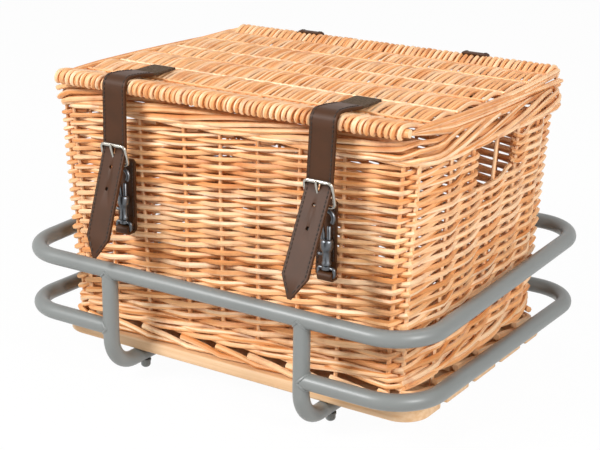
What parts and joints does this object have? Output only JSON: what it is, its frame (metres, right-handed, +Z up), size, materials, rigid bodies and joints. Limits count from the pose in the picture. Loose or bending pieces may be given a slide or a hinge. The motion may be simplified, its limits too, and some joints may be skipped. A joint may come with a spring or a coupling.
{
  "type": "wicker bicycle basket",
  "caption": "Lidded wicker basket with leather hinges, buckled straps and bolt snaps, standing on the slatted deck of a tubular bicycle carrier.",
  "frame": {"origin": "on the ground, under the middle of the bounding box", "axes": "+Z up, +X along the carrier's longer side, straps and buckles at the front towards -Y"},
  "size_m": [0.476, 0.3976, 0.3114],
  "materials": {
    "paint": "smooth grey coating with a soft gloss",
    "beech": "pale planed wood, plain",
    "willow": "peeled honey-coloured willow",
    "leather": "dark brown, stitched along the edges",
    "nickel": "nickel plated wire",
    "zinc": "dull zinc"
  },
  "bodies": {
    "basket": {"upper_rail": "paint", "lower_rail_left": "paint", "lower_rail_right": "paint", "hoop_left": "paint", "hoop_right": "paint", "deck_nut_front_left": "paint", "deck_nut_front_right": "paint", "deck_nut_back_left": "paint", "deck_nut_back_right": "paint", "slat_1": "beech", "slat_2": "beech", "slat_3": "beech", "slat_4": "beech", "slat_5": "beech", "deck_bolt_front_left": "zinc", "deck_bolt_front_right": "zinc", "deck_bolt_back_left": "zinc", "deck_bolt_back_right": "zinc", "foot_border": "willow", "basket_base": "willow", "wall_front": "willow", "wall_back": "willow", "wall_left": "willow", "wall_right": "willow", "hand_stake_left": "willow", "hand_stake_right": "willow", "corner_front_left": "willow", "corner_front_right": "willow", "corner_back_left": "willow", "corner_back_right": "willow", "rim_border": "willow", "hinge_left_basket_leaf": "leather", "hinge_right_basket_leaf": "leather", "tab_left": "leather", "tab_right": "leather", "snap_left_eye": "zinc", "snap_right_eye": "zinc"},
    "lid": {"lid_front_stick": "willow", "lid_back_stick": "willow", "lid_panel": "willow", "lid_end_left": "willow", "lid_end_right": "willow", "hinge_left_lid_leaf": "leather", "hinge_right_lid_leaf": "leather", "strap_left_on_lid": "leather", "strap_right_on_lid": "leather"},
    "strap_left": {"strap_left_hanging": "leather", "buckle_left_frame": "nickel"},
    "prong_left": {"buckle_left_prong": "nickel"},
    "snap_left": {"snap_left_body": "zinc"},
    "snap_bolt_left": {"snap_left_bolt": "zinc"},
    "strap_right": {"strap_right_hanging": "leather", "buckle_right_frame": "nickel"},
    "prong_right": {"buckle_right_prong": "nickel"},
    "snap_right": {"snap_right_body": "zinc"},
    "snap_bolt_right": {"snap_right_bolt": "zinc"}
  },
  "joints": [
    {"name": "lid_hinge", "type": "hinge", "parent": "basket", "child": "lid", "pos_m": [0.003, 0.17614, 0.2983], "axis": [-1, 0, 0], "range_deg": [0, 105]},
    {"name": "strap_left_swing", "type": "hinge", "parent": "lid", "child": "strap_left", "pos_m": [-0.1145, -0.15346, 0.2983], "axis": [-1, 0, 0], "range_deg": [0, 80]},
    {"name": "prong_left_swing", "type": "hinge", "parent": "strap_left", "child": "prong_left", "pos_m": [-0.1145, -0.15252, 0.2251], "axis": [1, 0, 0], "range_deg": [0, 50]},
    {"name": "snap_left_swivel", "type": "hinge", "parent": "basket", "child": "snap_left", "pos_m": [-0.1145, -0.14366, 0.1661], "axis": [0, 0, 1], "range_deg": [-30, 30]},
    {"name": "snap_left_slide", "type": "slide", "parent": "snap_left", "child": "snap_bolt_left", "axis": [0, 0, -1], "range_m": [0, 0.005], "stiffness_N_per_m": 120},
    {"name": "strap_right_swing", "type": "hinge", "parent": "lid", "child": "strap_right", "pos_m": [0.1205, -0.15346, 0.2983], "axis": [-1, 0, 0], "range_deg": [0, 80]},
    {"name": "prong_right_swing", "type": "hinge", "parent": "strap_right", "child": "prong_right", "pos_m": [0.1205, -0.15437, 0.2251], "axis": [1, 0, 0], "range_deg": [0, 50]},
    {"name": "snap_right_swivel", "type": "hinge", "parent": "basket", "child": "snap_right", "pos_m": [0.1205, -0.14366, 0.1661], "axis": [0, 0, 1], "range_deg": [-30, 30]},
    {"name": "snap_right_slide", "type": "slide", "parent": "snap_right", "child": "snap_bolt_right", "axis": [0, 0, -1], "range_m": [0, 0.005], "stiffness_N_per_m": 120}
  ]
}
